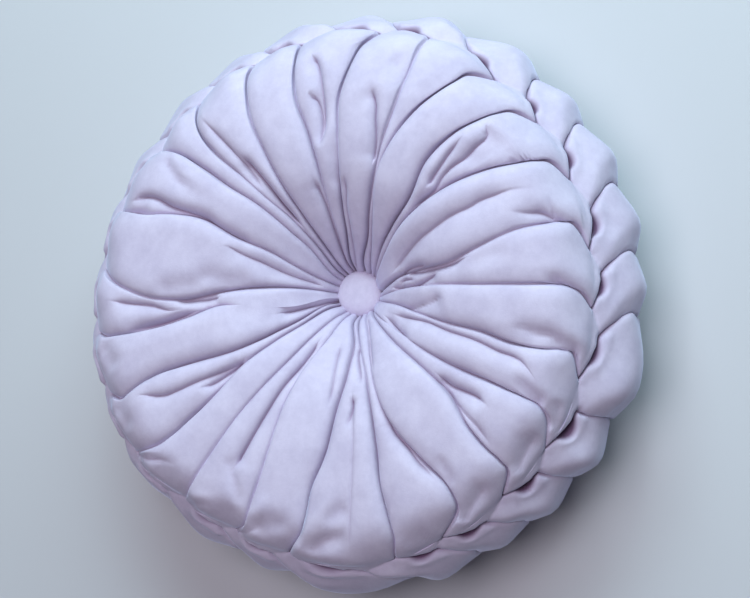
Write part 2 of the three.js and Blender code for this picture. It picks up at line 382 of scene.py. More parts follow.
CREASES = (
    Crease(((163, 16), (158, 18.5), (153, 21), (150, 22.5)), 7, 3.2, 0, 0.1, (0.2, 0.1)),
    Crease(((136, 14), (127, 16), (118, 17), (105, 19), (92, 20)), 4, 4, -1.5, 0.45, (0.05, 0.05)),
    Crease(((77, 7.5), (69, 8), (59, 7.5), (47, 8.5), (31, 9), (21, 6)), 3, 3, -1, 0.45, (0.1, 0.1)),
    Crease(((162, -4), (157, -3), (148, -2), (129, -1), (115, -1), (102, -2)),
            4, 3.2, -2.5, 0.5, (0.1, 0.2)),
    Crease(((134, -5), (129, -3), (116, -2), (99, -3)), 4, 2.8, -1.5, 0.45, (0.12, 0.1)),
    Crease(((152, -98.4), (138, -97.9), (125, -97.5), (110, -96.3), (97, -95)), 3, 5, -2, 0.35, (0.3, 0.3)),
    Crease(((105, 2), (91, 3), (78, 3), (69, 3)), 5, 2, 0, 0.1, (0.3, 0.3)),
    Crease(((75, -8.5), (69, -7.5), (59, -6.5), (47, -6.5), (35, -7), (23, -8)),
            3, 3.4, -1.5, 0.45, (0.06, 0.1)),
    Crease(((157, -37), (140, -36), (125, -35), (107, -34), (90, -34)), 4, 2.6, -1.5, 0.4, (0.3, 0.1)),
    Crease(((112, -33), (102, -32), (88, -31), (69, -30), (53, -28)), 4, 4, -3.5, 0.6, (0.12, 0.2)),
    Crease(((135, 44.5), (128, 44.5), (120, 44.5), (112, 45), (103, 45.5), (98, 46)),
            3, 3.4, 2, 0.5, (0.4, 0.05)),
    Crease(((150, 47), (145, 49), (136, 49), (125, 49), (115, 48), (106, 48), (96, 49), (80, 47)),
            4, 3, 2, 0.45, (0.1, 0.05)),
    Crease(((156, 52), (148, 52), (140, 52), (130, 51), (121, 50)), 6, 2.4, 1, 0.1, (0.25, 0.3)),
    Crease(((154, 67), (140, 65), (129, 64), (119, 63), (110, 63), (96, 62), (82, 62), (67, 62),
            (52, 64), (38, 68)), 6, 2, 3.4, 0.4, (0.35, 0.1)),
    Crease(((132, 70), (142, 72), (151, 73), (157, 75), (160, 76)), 6, 2.6, 3.6, 0.4, (0.4, 0.02)),
    Crease(((97, 79.5), (87, 80.5), (78, 80.5), (67, 80), (59, 79), (51, 76)),
            3.5, 2.4, 2.2, 0.5, (0.2, 0.1)),
    Crease(((66, 76.5), (58, 74.5), (50, 73.5), (45, 76), (40, 79.5)), 3, 3.2, 1, 0.5, (0.1, 0.05)),
    Crease(((73, 82.5), (66, 84.5), (55, 87), (45, 86.5), (36, 83)), 3, 3, 1.8, 0.5, (0.15, 0.1)),
    Crease(((53, 82), (48, 80.5), (42, 80.5)), 2.5, 3, 0, 0.5, (0.1, 0.2)),
    Crease(((126, 81), (115, 81), (104, 82), (92, 83)), 6, 1.6, 0, 0, (0.3, 0.3)),
    Crease(((148, 89), (152, 90), (157, 91)), 5, 2.8, 2, 0.4, (0.3, 0.02)),
    Crease(((78, 94), (70, 97), (61, 100), (49, 103), (32, 101)), 8, 1.6, 4.2, 0.3, (0.2, 0.2)),
    Crease(((32, 116), (44, 120), (53, 122), (61, 123)), 4, 3.6, 1.5, 0.45, (0.3, 0.15)),
    Crease(((41, 111), (53, 110), (68, 109), (86, 110), (105, 110), (123, 111), (134, 111), (143, 112),
            (154, 115)), 5, 2.8, 2.4, 0.4, (0.1, 0.25)),
    Crease(((122, 104), (134, 103), (146, 103), (153, 103), (160, 104)), 7, 2.2, 4, 0.25, (0.4, 0.02)),
    Crease(((138, 115), (149, 117), (156, 118), (163, 119)), 5, 2.4, 1.6, 0.3, (0.3, 0.1)),
    Crease(((97, 128), (106, 128), (114, 127), (123, 126), (132, 126)), 5, 3.6, 3, 0.45, (0.1, 0.2)),
    Crease(((102, 129.5), (112, 131), (124, 132), (138, 132.5), (151, 133.5)), 3, 1.8, 0, 0.6, (0.2, 0.2)),
    Crease(((134, 146), (140, 146), (146, 146.5), (153, 147)), 4, 2, 0, 0.3, (0.2, 0.1)),
    Crease(((78, 155), (90, 155), (104, 155), (118, 153), (130, 152), (144, 150)),
            4, 3.2, 0, 0.5, (0.2, 0.15)),
    Crease(((168, 125), (168, 128), (170, 131.5), (173, 134.5)), 5, 3.2, 1, 0.1, (0.25, 0.1)),
    Crease(((165, 140.5), (168, 144), (172, 147.5), (177, 150.5)), 5, 3.2, 1, 0.1, (0.25, 0.1)),
    Crease(((170, 116.5), (173, 119.5), (175, 123)), 5, 2.6, 1, 0, (0.2, 0.2)),
    Crease(((73, 168.5), (79, 169), (85, 170.5), (91, 173)), 3.5, 3.4, 0, 0.5, (0.15, 0.2)),
    Crease(((38, 160), (45, 162.5), (55, 162.5), (65, 162.5)), 3, 3, 0, 0.5, (0.15, 0.2)),
    Crease(((20, 138), (34, 145.5), (47, 150), (60, 153)), 3, 2.4, 0, 0.5, (0.1, 0.2)),
    Crease(((35, -180.5), (47, -179.5), (62, -179.5), (76, -178.5)), 3, 2.4, 0, 0.5, (0.1, 0.2)),
    Crease(((37, -152), (52, -152), (71, -150), (92, -150), (107, -150), (121, -150), (132, -150)),
            4, 3.6, -2, 0.5, (0.05, 0.05)),
    Crease(((130, -147), (135, -149), (141, -151), (149, -154), (156, -156)), 4, 2.2, 0, 0.2, (0.2, 0.2)),
    Crease(((152, -116), (139, -119), (129, -120), (114, -121), (96, -123), (77, -125)),
            4, 2.6, -2, 0.45, (0.1, 0.2)),
    Crease(((112, -124), (104, -125), (95, -125), (87, -125), (78, -124)), 4, 3.4, -2, 0.45, (0.2, 0.1)),
    Crease(((162, -90), (146, -91), (131, -92), (118, -94), (105, -94)), 4, 2.6, -2.6, 0.45, (0.15, 0.5)),
    Crease(((83, -65), (70, -66), (57, -66), (38, -67), (21, -64)), 5, 2.6, -1.6, 0.35, (0.2, 0.1)),
    Crease(((98, -81), (86, -81), (73, -81), (60, -77)), 6, 2.4, -1, 0, (0.2, 0.2)),
    Crease(((129, -87), (113, -86), (101, -85), (91, -85)), 6, 2, -1, 0, (0.2, 0.2)),
    Crease(((114, -91), (103, -91), (92, -91), (83, -90)), 5, 2.8, -2.6, 0.4, (0.25, 0.1)),
    Crease(((163, -64), (155, -62), (145, -61), (132, -61), (119, -60), (105, -59), (94, -60),
            (84, -60)), 4, 3.2, -3.6, 0.45, (0.1, 0.02)),
    Crease(((161, -67), (154, -66), (147, -64.5)), 4, 2.2, -1, 0.3, (0.1, 0.3)),
    Crease(((157, -51), (147, -52), (136, -53), (125, -53), (106, -53)), 4, 2.4, -1.4, 0.3, (0.05, 0.6)),
    Crease(((175, -100), (170, -103.5), (166, -107)), 7, 3.2, 0, 0, (0.15, 0.3)),
    Crease(((179, -114), (175, -117.5), (173, -121.5)), 7, 3, 0, 0, (0.15, 0.3)),
    Crease(((72, 168.5), (95, 170), (120, 172), (146, 174), (168, 175.5)), 1.6, 0.9, 0, 0.6, (0.05, 0.05)),
    Crease(((176, 164), (174, 161.5), (174, 158)), 7, 2.6, 0, 0, (0.2, 0.2)),
    Crease(((44, -104), (37, -104), (28, -102), (20, -98), (10, -84)), 4, 3.4, -2.5, 0.45, (0.15, 0.05)),
    Crease(((179, -127), (174, -129), (168, -131), (162, -133.5), (159, -136.5)),
            3, 2.2, -1.8, 0.4, (0.03, 0.6)),
    Crease(((176, -127), (169, -129), (163, -131), (156, -134)), 3, -1.4, -1, 0, (0.1, 0.5)),
    Crease(((177, -130.5), (171, -134.5), (165, -138.5)), 9, 2.4, 0, 0, (0.4, 0.4)),
    Crease(((176, -143), (172, -144.5), (168, -146.5), (167, -149)), 3, 1.8, -1.4, 0.3, (0.03, 0.7)),
    Crease(((171, -143), (166, -145), (163, -147), (162, -149.5)), 4, -1.2, 0, 0, (0.1, 0.5)),
    Crease(((170, -149), (165, -153), (161, -157)), 8, 2.2, 0, 0, (0.4, 0.4)),
    Crease(((172, -156), (163, -158), (155, -161), (148, -162), (142, -164)),
            4, -2.6, -1.4, 0, (0.05, 0.45)),
    Crease(((174, -156.5), (171, -158.5), (167, -160.5), (162, -162)), 3, 1.6, 0, 0.5, (0.03, 0.4)),
    Crease(((169, -160), (163, -163), (158, -167), (157, -171.5)), 7, 3.2, 0, 0, (0.25, 0.4)),
    Crease(((175, -171), (167, -173), (157, -176), (147, -179), (138, -181), (128, -183)),
            5, -2.8, -1.6, 0, (0.03, 0.4)),
    Crease(((174, -173), (168, -176), (163, -179.5), (159, -184.5)), 3, 0.8, -1.6, 0.1, (0.15, 0.25)),
    Crease(((174, -173), (169, -176.5), (165, -181), (164, -185)), 7, 2.8, 0, 0, (0.2, 0.35)),
    Crease(((154, 181.5), (148, 178), (144, 174.5)), 5, 2.2, 0, 0, (0.3, 0.3)),
)


class Run(Enum):
    """The runs of a fold: over a face, back along the plait, and over the band."""

    FACE = "face"
    LEG = "leg"
    ARCH = "arch"


@dataclass
class Nearness:
    """How each point of the cover lies to one run of the folds on one side of its pleat.

    Each array has an entry for every pleat, row and column. way is the unit direction to the fold, as
    clockwise and along the section, and spot is how far along its run the nearest point is, from 0 to 1.
    """

    distance: np.ndarray
    way: np.ndarray
    spot: np.ndarray


@dataclass
class Side:
    """How the points of every pleat lie to the fold on one of its sides.

    gap is each point's distance from the fold, depth is how deep the fold is drawn in at each row, eye is
    the width of its opening in the plait, and runs pairs its runs, front to back, with how near they are.
    """

    gap: np.ndarray
    depth: np.ndarray
    eye: np.ndarray
    runs: list[tuple[Run, Nearness]]


@dataclass(frozen=True)
class Steps:
    """Steps between rows: the finest, how it grows with the distance from the plait, and the widest."""

    fine: float
    growth: float
    wide: float


@dataclass(frozen=True)
class Layout:
    """Where the folds, rows and columns of the cover run.

    tuft_shift is how far the tufts are pulled aside, in full inside tuft_zone and not at all outside it.
    leg holds how far past the plait line a fold is, and the share of its march that it has run back by then.
    corner is where it turns from the leg of the plait into the arch over the band, and a fold's own arch
    sets in over the share arch_turn. The unevenness of the plait line sets in over uneven_zone on the face,
    and over even_zone on the band it loses the share uneven_lost. The back's folds keep the share back_keeps
    of what the front's lack in depth.
    """

    profile: Profile = Profile()
    tuft_shift: tuple[float, float] = (3.0, 5.0)
    tuft_zone: tuple[float, float] = (18.0, 110.0)
    corner: float = 8.4
    leg: tuple[tuple[float, float], ...] = (
        (0, 0), (1.3, 0.12), (3.0, 0.23), (4.6, 0.33), (5.8, 0.43), (6.6, 0.5), (7.4, 0.57), (8.4, 0.63),
        (10, 0.7), (13, 0.8), (16, 0.88), (20, 0.96), (25, 1.01), (30, 1.03), (38, 1.01),
    )
    arch_turn: float = 0.1
    uneven_zone: tuple[float, float] = (-70.0, -3.0)
    even_zone: tuple[float, float] = (6.0, 28.0)
    uneven_lost: float = 0.8
    back_keeps: float = 0.3
    # rows: finest within fine_reach of plait_row, with the front's steps up to front_past beyond the middle
    # of the band, and neck_step within neck_reach of the front tuft
    front_steps: Steps = Steps(0.5, 0.075, 2.7)
    back_steps: Steps = Steps(1.0, 0.2, 5.6)
    plait_row: float = 5.5
    fine_reach: float = 3.5
    front_past: float = 6.0
    neck_reach: float = 14.0
    neck_step: float = 1.6
    # columns of a pleat: column_gap apart, and down to crease_gap within crease_reach of a fold or crease
    columns: int = 26
    column_gap: float = 5.0
    crease_gap: float = 0.9
    crease_reach: float = 2.2
    samples: int = 161
    # a column follows a crease and fades in over guide_zone before its ends, and over edge_zone, as a share
    # of the pleat, beside a fold; a crease that is nowhere stronger than guide_least is left alone
    guide_zone: tuple[float, float] = (-14.0, 1.0)
    edge_zone: tuple[float, float] = (0.02, 0.08)
    guide_least: float = 0.6
    # a point's distance from a fold: how much the nearest of its runs counts, and the least it may be
    gap_power: float = 4.0
    least_gap: float = 1e-3

    def rows(self) -> np.ndarray:
        """Spaces the mesh's rows along the section, closer together at the plait lines.

        Returns:
            The rows' places, from the front tuft to the back one.
        """
        start, band, end = self.profile.reach()
        places = [start]
        while places[-1] < end:
            place = places[-1]
            front = place < band / 2 + self.front_past
            nearest = abs(place - self.plait_row) if front else abs(place - band + self.plait_row)
            steps = self.front_steps if front else self.back_steps
            step = min(steps.fine + steps.growth * max(nearest - self.fine_reach, 0), steps.wide)
            if place < start + self.neck_reach:
                step = self.neck_step
            places.append(place + step)
        run = np.array(places) - start
        return start + run * (end - start) / run[-1]

    def lines(self) -> Lines:
        """Lays out the rows of the mesh.

        Returns:
            The rows, with the angles of the folds at them.
        """
        places = self.rows()
        _, band, _ = self.profile.reach()
        section, _ = self.profile.at(places)
        after = self.angles(places, section[:, 0])
        before = np.vstack([after[-1:] - 360, after[:-1]])
        return Lines(places, section[:, 0], np.minimum(places, band - places), before, after)

    def angles(self, places: np.ndarray, radii: np.ndarray) -> np.ndarray:
        """Works out where the folds run.

        Args:
            places: the rows.
            radii: their radii.

        Returns:
            The folds' angles, one row a fold and one column a place.
        """
        _, band, _ = self.profile.reach()
        inward = np.minimum(places, band - places)
        uneven = self.uneven_share(inward)
        on_face = np.empty((len(places), len(FOLDS)))
        for index, fold in enumerate(FOLDS):
            at = radii + (fold.reach - self.profile.plait_radius) * uneven
            on_face[:, index] = smooth_through(*fold.line(), at)
        leg = np.array(self.leg)
        run = smooth_through(leg[:, 0], leg[:, 1], inward)[:, None]
        bend = np.interp(self.corner, leg[:, 0], leg[:, 1])
        arch = np.array([fold.arch for fold in FOLDS])
        over = np.maximum(run - bend, 0) * (1 - arch) * ramp(bend, bend + self.arch_turn, run)
        tips = np.array([fold.tip for fold in FOLDS])
        march = np.array([fold.march for fold in FOLDS])
        return np.where((inward > 0)[:, None], tips - march * (run - over), on_face).T

    def uneven_share(self, inward: np.ndarray) -> np.ndarray:
        """How far each place shares the uneven radius of the plait line, from 0 to 1."""
        return ramp(*self.uneven_zone, inward) * (1 - self.uneven_lost * ramp(*self.even_zone, inward))

    def unevenness(self, theta: np.ndarray) -> np.ndarray:
        """Works out how uneven the plait line is.

        Args:
            theta: any angles.

        Returns:
            How far the plait line lies outside its mean radius there.
        """
        spread = np.array([fold.reach for fold in FOLDS]) - self.profile.plait_radius
        tips = np.array([fold.tip for fold in FOLDS])
        tips = np.concatenate([tips - 360, tips, tips + 360])
        return np.interp(theta, tips, np.tile(spread, 3))

    def tuft_share(self, radii: np.ndarray) -> np.ndarray:
        """How far each radius is pulled aside with the tuft, from 0 to 1."""
        return 1 - ramp(*self.tuft_zone, radii)

    def settled(self, crease: Crease, lines: Lines) -> tuple[np.ndarray, np.ndarray]:
        """Works out a crease before the tuft is pulled aside and the plait line is made uneven.

        Args:
            crease: the crease.
            lines: the rows and folds.

        Returns:
            Radius and angle of its close points.
        """
        radius, angle = crease.line()
        share = self.tuft_share(radius)
        x = radius * np.sin(np.radians(angle)) - self.tuft_shift[0] * share
        y = radius * np.cos(np.radians(angle)) - self.tuft_shift[1] * share
        turned = np.degrees(np.arctan2(x, y))
        turned += 360 * np.round((angle - turned) / 360)
        order = np.argsort(lines.radii[lines.front])
        places = lines.places[lines.front][order]
        place = np.interp(np.hypot(x, y), lines.radii[lines.front][order], places)
        return np.hypot(x, y) - self.unevenness(turned) * self.uneven_share(place), turned

    def column_angles(self, lines: Lines) -> np.ndarray:
        """Works out the columns of each pleat, drawn together along its folds and creases.

        Args:
            lines: the rows and folds.

        Returns:
            The columns' angles, with an entry for every pleat, row and column.
        """
        fine = np.linspace(0, 1, self.samples)
        span = lines.after - lines.before
        width = span[..., None] * (np.radians(1) * lines.radii[:, None])
        density = np.full(span.shape + fine.shape, 1 / self.column_gap)
        for edge in (0, 1):
            density += bell(0, self.crease_reach, (fine - edge) * width) / self.crease_gap
        guides = [[] for _ in FOLDS]
        for crease in (c for c in CREASES if c.followed()):
            pleat, share, weight = self.guide(crease, lines)
            if weight.max() < self.guide_least:
                continue
            away = (fine - share[:, None]) * width[pleat]
            density[pleat] += weight[:, None] * bell(0, self.crease_reach, away) / self.crease_gap
            guides[pleat].append((share, weight))
        total = np.cumsum((density[..., 1:] + density[..., :-1]) / 2, axis=-1)
        total = np.concatenate([np.zeros(span.shape + (1,)), total], axis=-1)
        total /= total[..., -1:]
        shares = np.stack([self.column_shares(fine, *pleat) for pleat in zip(total, guides)])
        return lines.before[..., None] + span[..., None] * shares

    def guide(self, crease: Crease, lines: Lines) -> tuple[int, np.ndarray, np.ndarray]:
        """Works out how a crease draws a column of its pleat to itself.

        Args:
            crease: the crease.
            lines: the rows and folds.

        Returns:
            The pleat's number, and for each row the share of the pleat at which the crease crosses it, and
            how strongly it draws the column there, from 0 to 1.
        """
        radius, angle = self.settled(crease, lines)
        pleat, turn = crease.pleat(radius, angle, lines)
        order = np.argsort(radius)
        at = np.interp(lines.radii, radius[order], angle[order]) + turn
        share = (at - lines.before[pleat]) / (lines.after[pleat] - lines.before[pleat])
        inside = np.minimum(lines.radii - radius.min(), radius.max() - lines.radii)
        weight = ramp(*self.guide_zone, inside) * lines.front
        return pleat, share, weight * ramp(*self.edge_zone, np.minimum(share, 1 - share))

    def column_shares(self, fine: np.ndarray, total: np.ndarray, guides: list) -> np.ndarray:
        """Spaces the columns of one pleat.

        Args:
            fine: close shares of the pleat's width.
            total: the share of all columns that lie before each of them, one row a mesh row.
            guides: the creases that draw a column, as the share and the strength at each row.

        Returns:
            The share of the pleat's width at which each column crosses each row.
        """
        wanted = np.arange(self.columns) / self.columns
        crossings = [zip(share, total) for share, _ in guides]
        spots = [np.array([np.interp(at, fine, row) for at, row in pairs]) for pairs in crossings]
        weights = [weight for _, weight in guides]
        middles = [np.median(spot[weight > 0.5]) for spot, weight in zip(spots, weights)]
        column = 1
        targets = [0.0] * len(guides)
        for index in np.argsort(middles):
            column = min(max(round(middles[index] * self.columns), column + 1), self.columns - 1)
            targets[index] = column / self.columns
        shares = np.empty((len(total), self.columns))
        for row in range(len(total)):
            live = [i for i in np.argsort([spot[row] for spot in spots]) if weights[i][row] > 0]
            knots = [0.0] + [spots[i][row] for i in live] + [1.0]
            moved = [spots[i][row] + weights[i][row] * (targets[i] - spots[i][row]) for i in live]
            moved = np.maximum.accumulate(np.array([0.0] + moved + [1.0]))
            even = np.interp(wanted, moved + TINY * np.arange(len(moved)), knots)
            shares[row] = np.interp(even, total[row], fine)
        return shares

    def side(self, lines: Lines, theta: np.ndarray, folds: np.ndarray, order: tuple[int, ...]) -> Side:
        """Works out how every point lies to the fold on one side of its pleat.

        Args:
            lines: the rows and folds.
            theta: angles of the points.
            folds: angles of each pleat's fold on that side, at the rows.
            order: the number of that fold in FOLDS, for each pleat.

        Returns:
            How the points lie to it.
        """
        _, band, _ = self.profile.reach()
        far = 2 * (band - lines.places[0])
        cuts = (-far, 0.0, self.corner, band - self.corner, band, far)
        runs = []
        for run, low, high in zip((Run.FACE, Run.LEG, Run.ARCH, Run.LEG, Run.FACE), cuts[:-1], cuts[1:]):
            inside = np.flatnonzero((lines.places >= low) & (lines.places <= high))
            piece = np.arange(max(inside[0] - 1, 0), min(inside[-1] + 2, len(lines.places)))
            near = Nearness(np.empty(theta.shape), np.empty(theta.shape + (2,)), np.empty(theta.shape))
            for pleat in range(len(theta)):
                found = self.to_stretch(theta[pleat], lines, folds[pleat][piece], lines.places[piece])
                near.distance[pleat], near.way[pleat], near.spot[pleat] = found
            runs.append((run, near))
        gap = sum(np.maximum(near.distance, self.least_gap) ** -self.gap_power for _, near in runs)
        eye = np.array([FOLDS[number].eye for number in order])[:, None, None]
        return Side(gap ** (-1 / self.gap_power), self.depths(lines)[list(order)], eye, runs)

    @staticmethod
    def to_stretch(theta: np.ndarray, lines: Lines, fold: np.ndarray, fold_places: np.ndarray) -> tuple:
        """Works out how a pleat's points lie to one stretch of a fold, on the unrolled cloth.

        Args:
            theta: angles of the points, by row and column.
            lines: the rows and folds.
            fold: angles of the stretch's points.
            fold_places: their places.

        Returns:
            The distances, the unit vectors from point to fold as clockwise and along the section, and how
            far along the stretch the nearest point is.
        """
        scale = np.radians(1.0) * lines.radii[:, None, None]
        ax = (fold[:-1] - theta[..., None]) * scale
        bx = (fold[1:] - theta[..., None]) * scale
        ay = fold_places[:-1] - lines.places[:, None, None]
        by = fold_places[1:] - lines.places[:, None, None]
        dx, dy = bx - ax, np.broadcast_to(by - ay, bx.shape)
        t = np.clip(-(ax * dx + ay * dy) / np.maximum(dx * dx + dy * dy, TINY), 0, 1)
        px, py = ax + t * dx, ay + t * dy
        d = np.hypot(px, py)
        i = d.argmin(axis=-1)[..., None]
        d, px, py, t = (np.take_along_axis(a, i, axis=-1)[..., 0] for a in (d, px, py, t))
        way = np.stack([px, py], axis=-1) / np.maximum(d, TINY)[..., None]
        return d, way, (i[..., 0] + t) / (len(fold) - 1)

    def depths(self, lines: Lines) -> np.ndarray:
        """Works out how deep the folds are drawn in.

        Args:
            lines: the rows and folds.

        Returns:
            Each fold's depth at each row, from 0 to 1, with room for the columns.
        """
        table = np.array([fold.depths for fold in FOLDS])[:, ::-1]
        depth = smooth_through(np.array(DEPTH_RADII[::-1]), table.T, lines.radii).T
        depth = np.where(lines.places < 0, depth, 1 - (1 - depth) * self.back_keeps)
        return np.clip(depth, 0, 1)[:, :, None]


@dataclass
class Relief:
    """How the cloth stands at each point, with an entry for every pleat, row and column.

    rise is the share of its full swelling, sink is how far it is drawn into the crevices, and shift is how
    far it slides along the surface, as clockwise and along the section. roll is how far the rolled edge
    beside a fold of the face reaches, pressed is how much the plait has pressed the pleat flat, groove is how
    deep a full crevice of the face is, low is how far the point lies on the lower left, and inward is how far
    past the nearer plait line it lies.
    """

    rise: np.ndarray
    sink: np.ndarray
    shift: np.ndarray
    roll: np.ndarray
    pressed: np.ndarray
    groove: np.ndarray
    low: np.ndarray
    inward: np.ndarray


@dataclass(frozen=True)
class FacePleats:
    """How the cloth lies beside the folds of a face.

    Beside a fold that is drawn in full the cloth starts flat in the crevice and swells over its roll, and
    where the plait presses it the clockwise side starts at the share pressed_start. A fold counts with its
    depth to fading, so that a shallow one soon shows. On its other side the lip leans over the fold by lap,
    which sets in within lip_reach of the plait line.
    """

    pressed_start: float = 0.38
    start_width: float = 1.4
    crevice_width: float = 0.8
    fading: float = 1.6
    lap: float = 3.4
    lip: tuple[float, float] = (2.6, 2.4)
    lip_reach: float = 14.0

    def weight(self, depth: np.ndarray) -> np.ndarray:
        """How much of a fold's shape shows where it is this deep."""
        return 1 - (1 - depth) ** self.fading

    def clockwise(self, side: Side, near: Nearness, relief: Relief) -> None:
        """Shapes the clockwise side of a fold: a full roll near the tuft, pressed flatter at the plait.

        Args:
            side: how the points lie to the fold.
            near: how they lie to this run of it.
            relief: how the cloth stands, which is changed.
        """
        d = near.distance
        x = np.clip(d / relief.roll, 0, 1)
        flat = self.pressed_start + (1 - self.pressed_start) * x * (2 - x)
        flat = flat * (1 - bell(0, self.start_width, d))
        shaped = (1 - relief.pressed) * rounded(x) + relief.pressed * flat
        relief.rise *= 1 - (1 - shaped) * self.weight(side.depth)
        relief.sink += relief.groove * side.depth * np.exp(-d / self.crevice_width)

    def counter(self, side: Side, near: Nearness, relief: Relief) -> None:
        """Shapes the other side of a fold: a roll whose lip leans over the fold beside the plait.

        Args:
            side: how the points lie to the fold.
            near: how they lie to this run of it.
            relief: how the cloth stands, which is changed.
        """
        d = near.distance
        x = np.clip(d / relief.roll, 0, 1)
        relief.rise *= 1 - (1 - rounded(x)) * self.weight(side.depth)
        amount = relief.pressed * ramp(0, -self.lip_reach, relief.inward) * side.depth
        relief.shift += near.way * (self.lap * amount * leaning(d, *self.lip))[..., None]
        relief.sink += relief.groove * side.depth * np.exp(-d / self.crevice_width)


@dataclass(frozen=True)
class PlaitLegs:
    """How the cloth lies beside the legs of the plait, where the folds run back along the plait line.

    On the clockwise side of a leg a small roll starts at the crevice, with a lip that stands further out on
    the lower left, and a long slope leads up to the lobe. On the other side the cloth is a plain slope with
    an edging, which is also higher there. Between the two the plait opens over open_zone of the leg and
    closes over close_zone, as an eye whose sides are drawn apart and whose floor is eye_depth down.
    """

    roll: float = 3.6
    roll_rise: float = 0.42
    slope: tuple[float, float] = (5.0, 32.0)
    lip_rise: tuple[float, float] = (0.25, 0.3)
    lip_place: tuple[float, float] = (4.2, 2.8)
    lip_zone: tuple[float, float] = (0.1, 0.5)
    lean: float = 1.6
    lean_place: tuple[float, float] = (1.6, 1.6)
    open_zone: tuple[float, float] = (0.3, 0.66)
    close_zone: tuple[float, float] = (0.66, 0.98)
    apart: float = 0.8
    apart_reach: float = 1.8
    eye_depth: float = 8.0
    under_width: float = 1.5
    above_width: float = 0.8
    above_rise: float = 0.15
    above_slope: tuple[float, float] = (-4.0, 20.0)
    edging_rise: tuple[float, float] = (0.1, 0.22)
    edging_place: tuple[float, float] = (3.8, 3.0)
    crevice: float = 2.6
    crevice_width: float = 0.8

    def opening(self, near: Nearness) -> np.ndarray:
        """How far the plait opens beside a leg, from 0 at its ends to 1 in the eye."""
        return ramp(*self.open_zone, near.spot) * (1 - ramp(*self.close_zone, near.spot))

    def clockwise(self, side: Side, near: Nearness, relief: Relief) -> None:
        """Shapes the cloth that comes out from under a leg.

        Args:
            side: how the points lie to the fold.
            near: how they lie to this run of it.
            relief: how the cloth stands, which is changed.
        """
        d, opening, eye = near.distance, self.opening(near), side.eye
        rise = self.roll_rise * rounded(np.clip(d / self.roll, 0, 1))
        lip_rise = self.lip_rise[0] + self.lip_rise[1] * relief.low
        rise += lip_rise * bell(*self.lip_place, d) * ramp(*self.lip_zone, near.spot)
        relief.rise *= rise + (1 - self.roll_rise) * ramp(*self.slope, d)
        lean = self.lean * leaning(d, *self.lean_place) * (1 - opening)
        lean = lean - self.apart * eye * opening * np.exp(-d / (self.apart_reach * eye))
        relief.shift += near.way * lean[..., None]
        relief.sink += self.eye_depth * opening * bell(0, self.under_width, d)
        relief.sink += self.crevice * np.exp(-d / self.crevice_width)

    def counter(self, side: Side, near: Nearness, relief: Relief) -> None:
        """Shapes the cloth that folds over at a leg.

        Args:
            side: how the points lie to the fold; not used here.
            near: how they lie to this run of it.
            relief: how the cloth stands, which is changed.
        """
        d = near.distance
        slope = self.above_rise + (1 - self.above_rise) * ramp(*self.above_slope, d)
        edging = self.edging_rise[0] + self.edging_rise[1] * relief.low
        slope = slope + edging * bell(*self.edging_place, d)
        relief.rise *= slope * (1 - bell(0, self.above_width, d))
        relief.sink += self.eye_depth * self.opening(near) * bell(0, self.above_width, d)
        relief.sink += self.crevice * np.exp(-d / self.crevice_width)


@dataclass(frozen=True)
class BandArches:
    """How the cloth lies beside the arches, where the folds run over the band.

    A lobe comes out from under its neighbour's edge in a long slope, and ends in a steep flank, as wide as
    flank says at the plait and wider over flank_zone, whose lip laps over the next one.
    """

    start: float = 0.22
    slope: tuple[float, float] = (-4.0, 38.0)
    start_width: float = 1.4
    flank: tuple[float, float] = (5.0, 10.0)
    flank_zone: tuple[float, float] = (9.0, 24.0)
    flank_start: float = 0.12
    lap: float = 3.4
    lap_zone: tuple[float, float] = (8.0, 16.0)
    lip: tuple[float, float] = (2.6, 2.4)
    crevice: float = 2.6
    crevice_width: float = 0.8

    def clockwise(self, side: Side, near: Nearness, relief: Relief) -> None:
        """Shapes the long slope that comes out from under the arch.

        Args:
            side: how the points lie to the fold; not used here.
            near: how they lie to this run of it.
            relief: how the cloth stands, which is changed.
        """
        d = near.distance
        slope = self.start + (1 - self.start) * ramp(*self.slope, d)
        relief.rise *= slope * (1 - bell(0, self.start_width, d))
        relief.sink += self.crevice * np.exp(-d / self.crevice_width)

    def counter(self, side: Side, near: Nearness, relief: Relief) -> None:
        """Shapes the steep flank that laps over the arch.

        Args:
            side: how the points lie to the fold; not used here.
            near: how they lie to this run of it.
            relief: how the cloth stands, which is changed.
        """
        d = near.distance
        width = self.flank[0] + self.flank[1] * ramp(*self.flank_zone, relief.inward)
        start = self.flank_start * (1 - bell(0, self.start_width, d))
        relief.rise *= start + (1 - self.flank_start) * np.clip(d / width, 0, 1)
        amount = self.lap * ramp(*self.lap_zone, relief.inward)
        relief.shift += near.way * (amount * leaning(d, *self.lip))[..., None]
        relief.sink += self.crevice * np.exp(-d / self.crevice_width)


